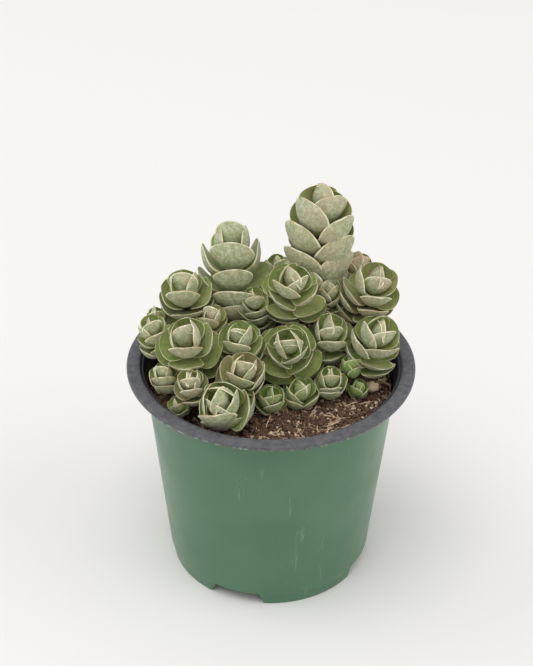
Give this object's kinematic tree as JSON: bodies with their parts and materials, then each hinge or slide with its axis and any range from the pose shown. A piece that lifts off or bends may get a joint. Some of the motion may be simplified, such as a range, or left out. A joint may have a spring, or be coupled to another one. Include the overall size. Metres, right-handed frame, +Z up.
{
  "type": "potted jade plant",
  "caption": "Stacked-leaf succulent: a clump of short shoots with fleshy opposite leaves, growing in soil in a round nursery pot with a rolled rim and a notched foot.",
  "frame": {"origin": "middle of the circle that the pot's feet stand on, at the resting surface", "axes": "+Z up along the pot's axis, -Y towards the side where the soil is bare, +X to the right when looking along +Y"},
  "size_m": [0.12, 0.12, 0.165],
  "materials": {
    "pot_plastic": "satin",
    "soil": "matte",
    "stem": "matte",
    "leaf": "matte"
  },
  "bodies": {
    "root": {"pot": "pot_plastic", "soil": "soil", "right_tower_stem": "stem", "right_tower_leaves": "leaf", "left_tower_stem": "stem", "left_tower_leaves": "leaf", "top_rosette_stem": "stem", "top_rosette_leaves": "leaf", "middle_rosette_stem": "stem", "middle_rosette_leaves": "leaf", "upper_left_rosette_stem": "stem", "upper_left_rosette_leaves": "leaf", "left_rosette_stem": "stem", "left_rosette_leaves": "leaf", "left_edge_shoot_stem": "stem", "left_edge_shoot_leaves": "leaf", "left_back_shoot_stem": "stem", "left_back_shoot_leaves": "leaf", "inner_left_shoot_stem": "stem", "inner_left_shoot_leaves": "leaf", "front_middle_rosette_stem": "stem", "front_middle_rosette_leaves": "leaf", "upper_middle_shoot_stem": "stem", "upper_middle_shoot_leaves": "leaf", "back_middle_shoot_stem": "stem", "back_middle_shoot_leaves": "leaf", "back_tower_shoot_stem": "stem", "back_tower_shoot_leaves": "leaf", "upper_right_rosette_stem": "stem", "upper_right_rosette_leaves": "leaf", "right_rosette_stem": "stem", "right_rosette_leaves": "leaf", "middle_right_rosette_stem": "stem", "middle_right_rosette_leaves": "leaf", "inner_right_shoot_stem": "stem", "inner_right_shoot_leaves": "leaf", "front_left_rosette_stem": "stem", "front_left_rosette_leaves": "leaf", "front_rosette_stem": "stem", "front_rosette_leaves": "leaf", "left_front_shoot_stem": "stem", "left_front_shoot_leaves": "leaf", "front_left_shoot_stem": "stem", "front_left_shoot_leaves": "leaf", "rim_left_shoot_stem": "stem", "rim_left_shoot_leaves": "leaf", "low_front_shoot_stem": "stem", "low_front_shoot_leaves": "leaf", "low_middle_shoot_stem": "stem", "low_middle_shoot_leaves": "leaf", "low_right_shoot_stem": "stem", "low_right_shoot_leaves": "leaf", "young_upper_shoot_stem": "stem", "young_upper_shoot_leaves": "leaf", "young_lower_shoot_stem": "stem", "young_lower_shoot_leaves": "leaf", "back_left_shoot_stem": "stem", "back_left_shoot_leaves": "leaf", "back_right_shoot_stem": "stem", "back_right_shoot_leaves": "leaf"}
  },
  "joints": []
}
